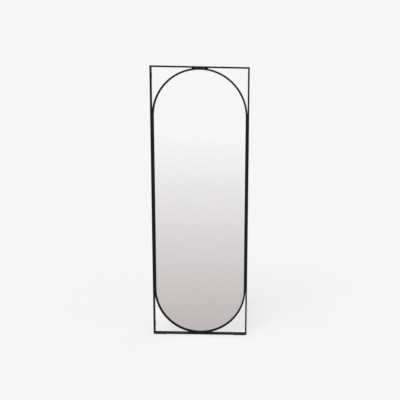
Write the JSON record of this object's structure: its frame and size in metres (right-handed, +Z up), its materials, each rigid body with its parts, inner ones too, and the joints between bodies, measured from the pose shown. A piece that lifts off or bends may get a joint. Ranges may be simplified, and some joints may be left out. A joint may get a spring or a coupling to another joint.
{
  "type": "leaning floor mirror",
  "caption": "Full-length capsule mirror in a rolled steel ring, welded inside a slim rectangular black tube frame that leans on the wall.",
  "frame": {"origin": "floor level, middle of the width and middle of the whole depth from the frame's front to the wall bumpers' backs", "axes": "+X to the right of someone who looks into the glass, +Y from the glass to the wall, +Z up; the mirror stands upright"},
  "size_m": [0.6, 0.035, 1.702],
  "materials": {
    "black_powder_coat": "satin",
    "mirror": "polished",
    "foam": "matte",
    "foam_tape": "matte",
    "fibreboard": "matte",
    "zinc_plate": "satin",
    "rubber": "matte"
  },
  "bodies": {
    "frame": {"bottom_rail": "black_powder_coat", "left_stile": "black_powder_coat", "top_rail": "black_powder_coat", "right_stile": "black_powder_coat", "ring_top_arc": "black_powder_coat", "ring_bottom_arc": "black_powder_coat", "ring_left_side": "black_powder_coat", "ring_right_side": "black_powder_coat", "weld_bottom_left": "black_powder_coat", "weld_bottom_right": "black_powder_coat", "weld_top_left": "black_powder_coat", "weld_top_right": "black_powder_coat", "weld_left_1": "black_powder_coat", "weld_left_2": "black_powder_coat", "weld_right_1": "black_powder_coat", "weld_right_2": "black_powder_coat", "glazing_tape": "foam_tape", "mirror_glass": "mirror", "packing_foam": "foam", "back_board": "fibreboard", "hanger_bar": "black_powder_coat", "bar_screw_left": "zinc_plate", "bar_screw_right": "zinc_plate", "hanger_strap_left": "zinc_plate", "hanger_strap_right": "zinc_plate", "strap_screw_left_1": "zinc_plate", "strap_screw_left_2": "zinc_plate", "strap_screw_right_1": "zinc_plate", "strap_screw_right_2": "zinc_plate", "foot_pad_left": "rubber", "foot_pad_right": "rubber", "wall_bumper_low_left": "rubber", "wall_bumper_low_right": "rubber", "wall_bumper_high_left": "rubber", "wall_bumper_high_right": "rubber", "turn_screw_top": "zinc_plate", "turn_screw_bottom": "zinc_plate", "turn_screw_left_1": "zinc_plate", "turn_screw_left_2": "zinc_plate", "turn_screw_left_3": "zinc_plate", "turn_screw_right_1": "zinc_plate", "turn_screw_right_2": "zinc_plate", "turn_screw_right_3": "zinc_plate"},
    "button_top": {"turn_button_top": "zinc_plate"},
    "button_bottom": {"turn_button_bottom": "zinc_plate"},
    "button_left_1": {"turn_button_left_1": "zinc_plate"},
    "button_left_2": {"turn_button_left_2": "zinc_plate"},
    "button_left_3": {"turn_button_left_3": "zinc_plate"},
    "button_right_1": {"turn_button_right_1": "zinc_plate"},
    "button_right_2": {"turn_button_right_2": "zinc_plate"},
    "button_right_3": {"turn_button_right_3": "zinc_plate"},
    "d_ring_left": {"hanger_ring_left": "zinc_plate"},
    "d_ring_right": {"hanger_ring_right": "zinc_plate"}
  },
  "joints": [
    {"name": "button_turn_top", "type": "hinge", "parent": "frame", "child": "button_top", "pos_m": [0, 0.00827, 1.69705], "axis": [0, 1, 0], "range_deg": [-90, 90]},
    {"name": "button_turn_bottom", "type": "hinge", "parent": "frame", "child": "button_bottom", "pos_m": [0, 0.00827, 0.00705], "axis": [0, 1, 0], "range_deg": [-90, 90]},
    {"name": "button_turn_left_1", "type": "hinge", "parent": "frame", "child": "button_left_1", "pos_m": [-0.295, 0.00827, 0.38205], "axis": [0, 1, 0], "range_deg": [-90, 90]},
    {"name": "button_turn_left_2", "type": "hinge", "parent": "frame", "child": "button_left_2", "pos_m": [-0.295, 0.00827, 0.81705], "axis": [0, 1, 0], "range_deg": [-90, 90]},
    {"name": "button_turn_left_3", "type": "hinge", "parent": "frame", "child": "button_left_3", "pos_m": [-0.295, 0.00827, 1.25205], "axis": [0, 1, 0], "range_deg": [-90, 90]},
    {"name": "button_turn_right_1", "type": "hinge", "parent": "frame", "child": "button_right_1", "pos_m": [0.295, 0.00827, 0.38205], "axis": [0, 1, 0], "range_deg": [-90, 90]},
    {"name": "button_turn_right_2", "type": "hinge", "parent": "frame", "child": "button_right_2", "pos_m": [0.295, 0.00827, 0.81705], "axis": [0, 1, 0], "range_deg": [-90, 90]},
    {"name": "button_turn_right_3", "type": "hinge", "parent": "frame", "child": "button_right_3", "pos_m": [0.295, 0.00827, 1.25205], "axis": [0, 1, 0], "range_deg": [-90, 90]},
    {"name": "ring_swing_left", "type": "hinge", "parent": "frame", "child": "d_ring_left", "pos_m": [-0.19, 0.01358, 1.33205], "axis": [0, 0, 1], "range_deg": [0, 150]},
    {"name": "ring_swing_right", "type": "hinge", "parent": "frame", "child": "d_ring_right", "pos_m": [0.19, 0.01358, 1.33205], "axis": [0, 0, -1], "range_deg": [0, 150]}
  ]
}
